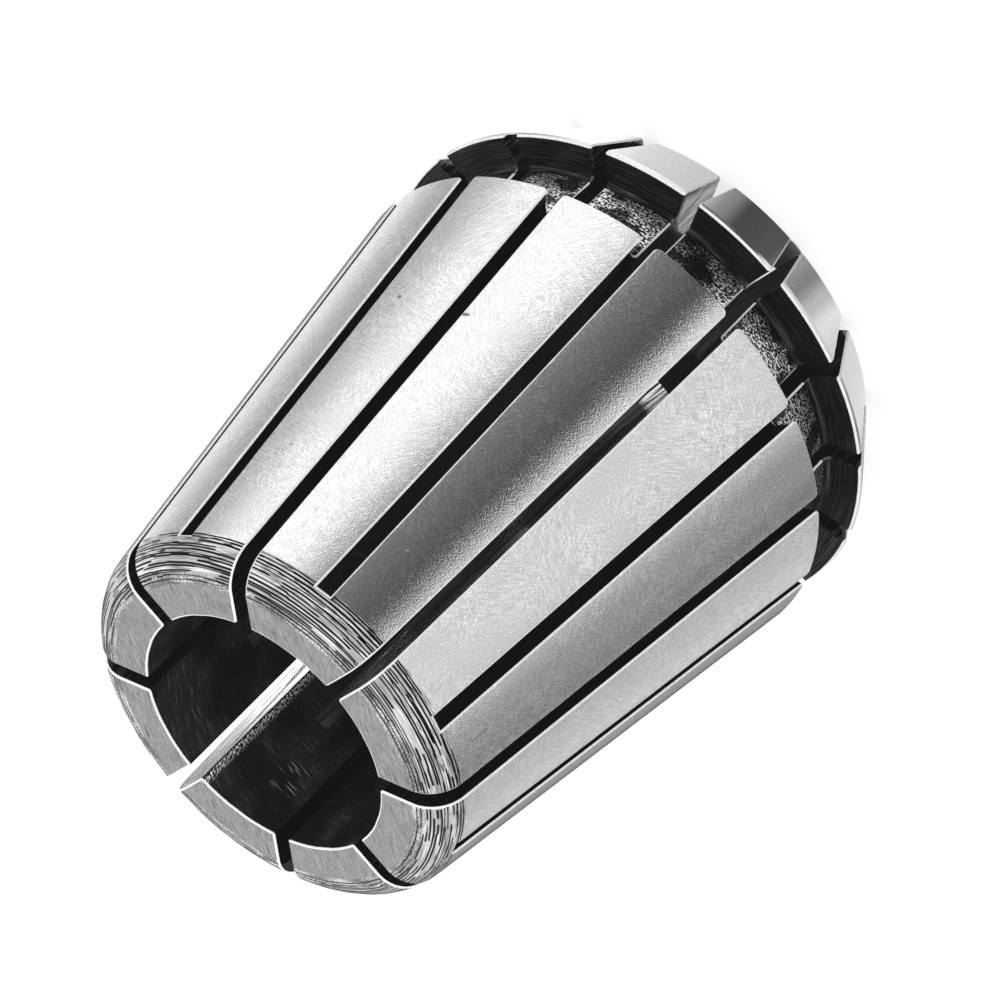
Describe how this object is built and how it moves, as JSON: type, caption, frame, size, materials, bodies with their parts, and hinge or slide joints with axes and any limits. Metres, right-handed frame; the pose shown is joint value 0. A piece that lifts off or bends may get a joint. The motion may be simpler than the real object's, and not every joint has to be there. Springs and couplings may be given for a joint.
{
  "type": "er collet",
  "caption": "Spring collet in one piece: long shallow outer cone, straight through bore, front collar with a steep taper, pull-out groove behind it, and narrow saw slots from both ends.",
  "frame": {"origin": "centre of the flat front face at the large end, where the collet stands", "axes": "+Z along the bore axis, from the large front end to the small rear end; +X through the middle of one slot that is sawn from the small end"},
  "size_m": [0.033, 0.033, 0.04],
  "materials": {
    "ground_steel": "hardened spring steel, finely ground outside, turned rings on the small end, dark saw cuts"
  },
  "bodies": {
    "root": {"collet_body": "ground_steel"}
  },
  "joints": []
}
